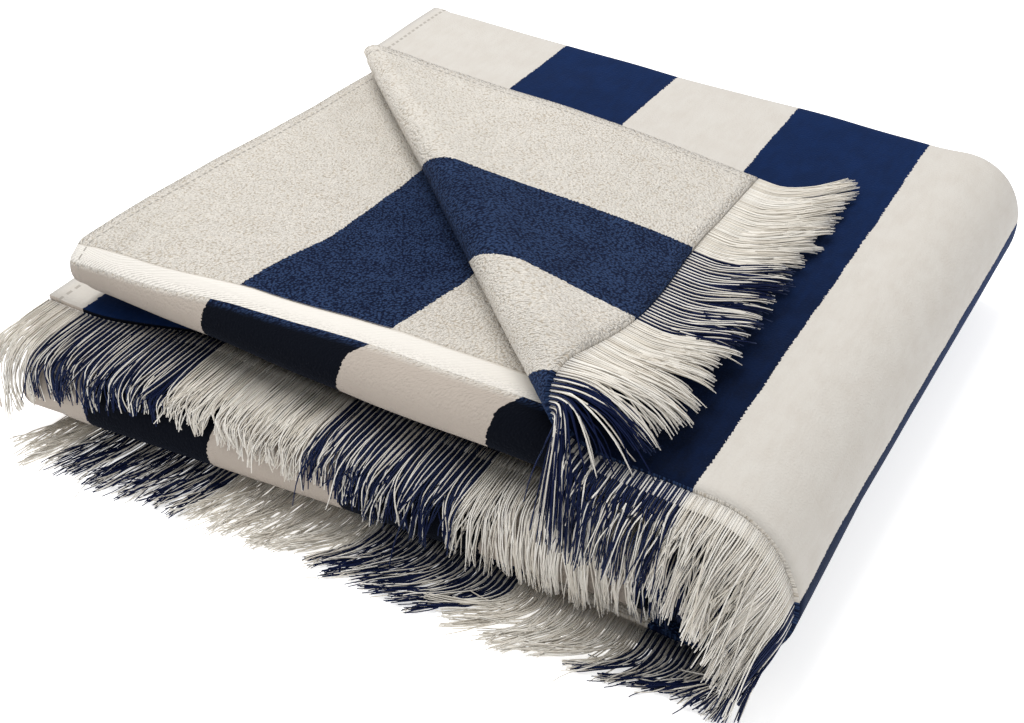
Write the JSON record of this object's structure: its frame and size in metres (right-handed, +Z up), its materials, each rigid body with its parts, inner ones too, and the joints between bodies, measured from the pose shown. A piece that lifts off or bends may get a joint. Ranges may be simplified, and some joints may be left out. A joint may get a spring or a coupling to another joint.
{
  "type": "bath towel",
  "caption": "Striped cotton bath towel with fringed ends, folded into a flat pile with one top corner turned back over it.",
  "frame": {"origin": "on the surface that the pile rests on, under the middle of the pile, at the rest_face mount", "axes": "+X to the right across the stripes, towards the folded side; +Y to the back, along the stripes; +Z up"},
  "size_m": [0.4265, 0.3811, 0.1157],
  "materials": {
    "terry_cloth": "cut velour face and looped terry back, wide stripes",
    "fringe_yarn": "loose cotton yarn, cream and navy"
  },
  "bodies": {
    "root": {"towel_cloth": "terry_cloth", "fringe_outer_end": "fringe_yarn", "fringe_inner_end": "fringe_yarn"}
  },
  "joints": []
}
